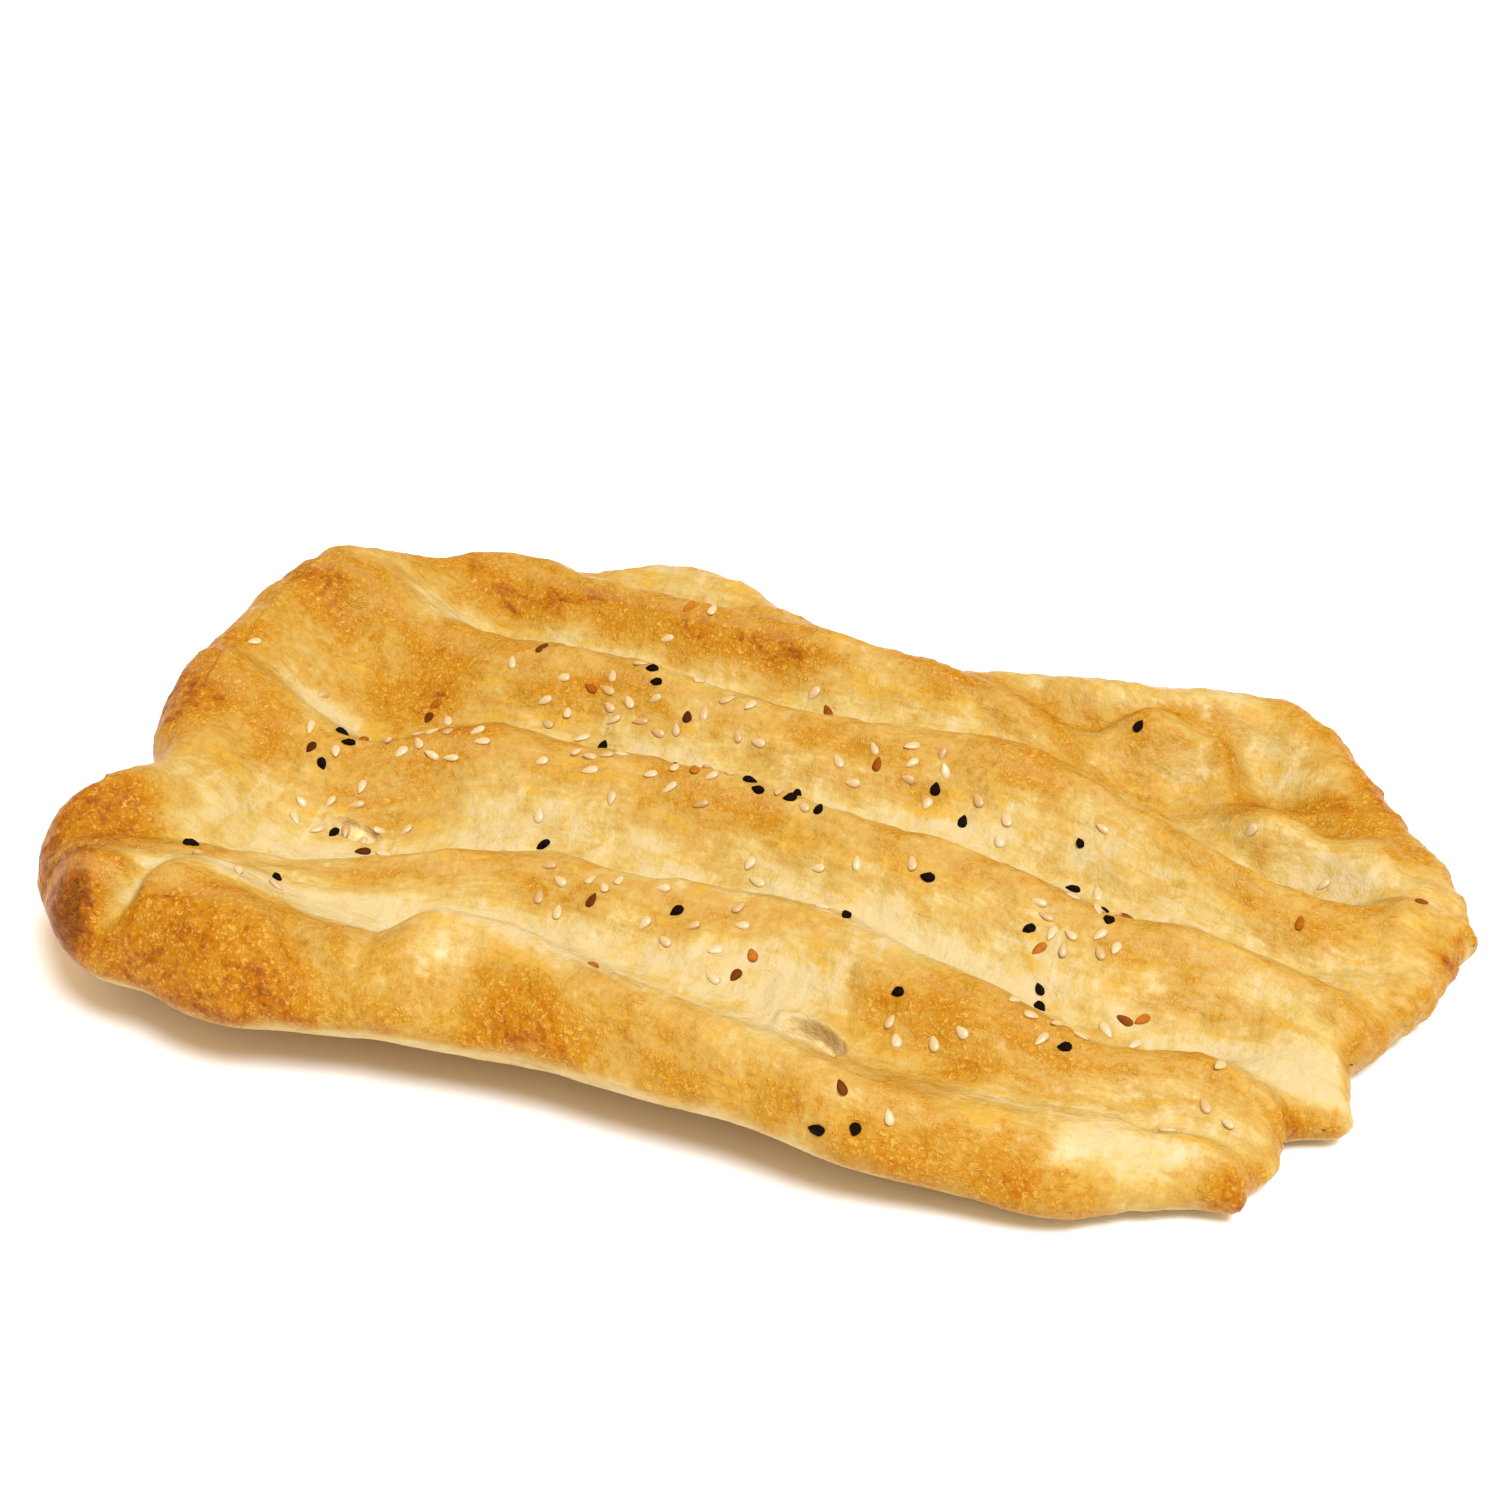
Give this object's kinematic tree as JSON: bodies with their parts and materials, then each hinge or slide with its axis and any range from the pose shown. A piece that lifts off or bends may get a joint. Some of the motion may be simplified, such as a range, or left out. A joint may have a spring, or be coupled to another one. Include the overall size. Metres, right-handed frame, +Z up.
{
  "type": "barbari bread",
  "caption": "Oblong flatbread with finger-pressed lengthwise ridges, a rounded browned edge, a lifted front left corner, and sesame and nigella seeds baked on top.",
  "frame": {"origin": "on the table under the middle of the bread's box", "axes": "+X along the bread's length towards its thin end, -Y towards the long edge nearest the picture's camera, +Z up"},
  "size_m": [0.2631, 0.1801, 0.0329],
  "materials": {
    "baked_crust": "satin baked crust, cream in the furrows, golden to brown on the ridges and ends",
    "white_sesame": "hulled sesame, satin ivory",
    "brown_sesame": "toasted unhulled sesame, satin red-brown",
    "nigella": "nigella seed, matte black"
  },
  "bodies": {
    "root": {"bread": "baked_crust"}
  },
  "joints": []
}
